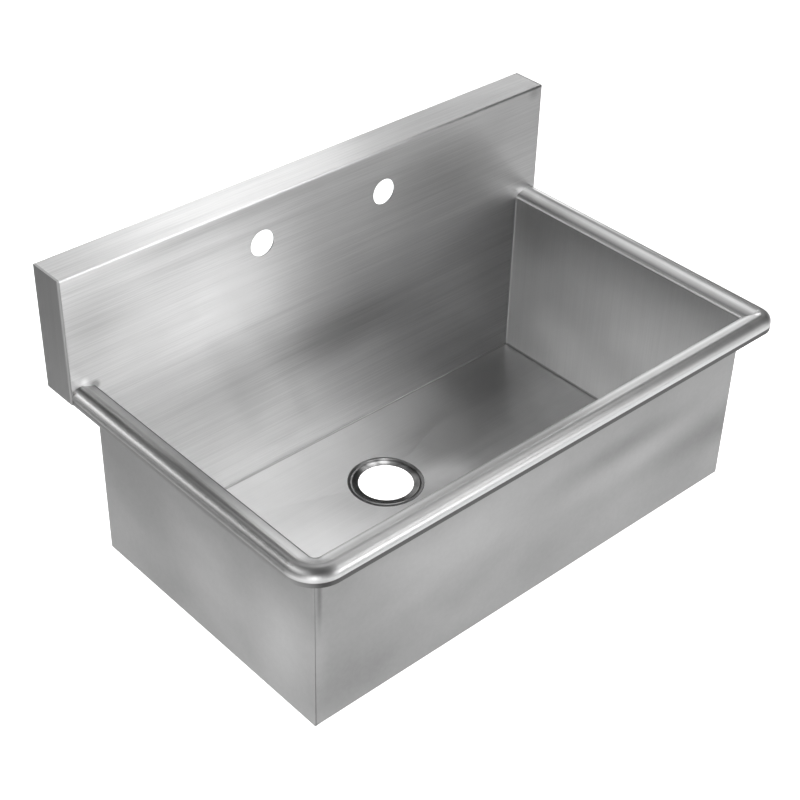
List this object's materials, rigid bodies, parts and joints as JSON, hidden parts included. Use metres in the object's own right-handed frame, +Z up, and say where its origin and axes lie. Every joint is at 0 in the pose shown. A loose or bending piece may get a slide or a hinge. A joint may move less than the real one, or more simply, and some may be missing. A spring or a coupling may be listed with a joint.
{
  "type": "utility sink",
  "caption": "Wall-hung utility sink: a deep rectangular bowl with a rolled rim, a boxed backsplash with tap holes and a round drain seat, folded and welded from stainless sheet.",
  "frame": {"origin": "middle of the wall bracket's line of screw holes, on the wall's surface", "axes": "+X to the right seen from the front, +Y into the wall, +Z up; the front of the bowl faces -Y"},
  "size_m": [0.792, 0.4975, 0.4339],
  "materials": {
    "sheet": "fine brushed stainless steel",
    "polished": "polished stainless steel",
    "weld": "ground and brushed weld",
    "bracket": "galvanised steel"
  },
  "bodies": {
    "root": {"back_sheet": "sheet", "splash_end_left": "sheet", "splash_end_right": "sheet", "floor_panel": "sheet", "drain_seat": "polished", "front_sheet": "sheet", "side_left": "sheet", "side_right": "sheet", "rim_corner_left": "sheet", "rim_corner_right": "sheet", "corner_welds": "weld", "floor_welds": "weld", "wall_bracket": "bracket"}
  },
  "joints": []
}
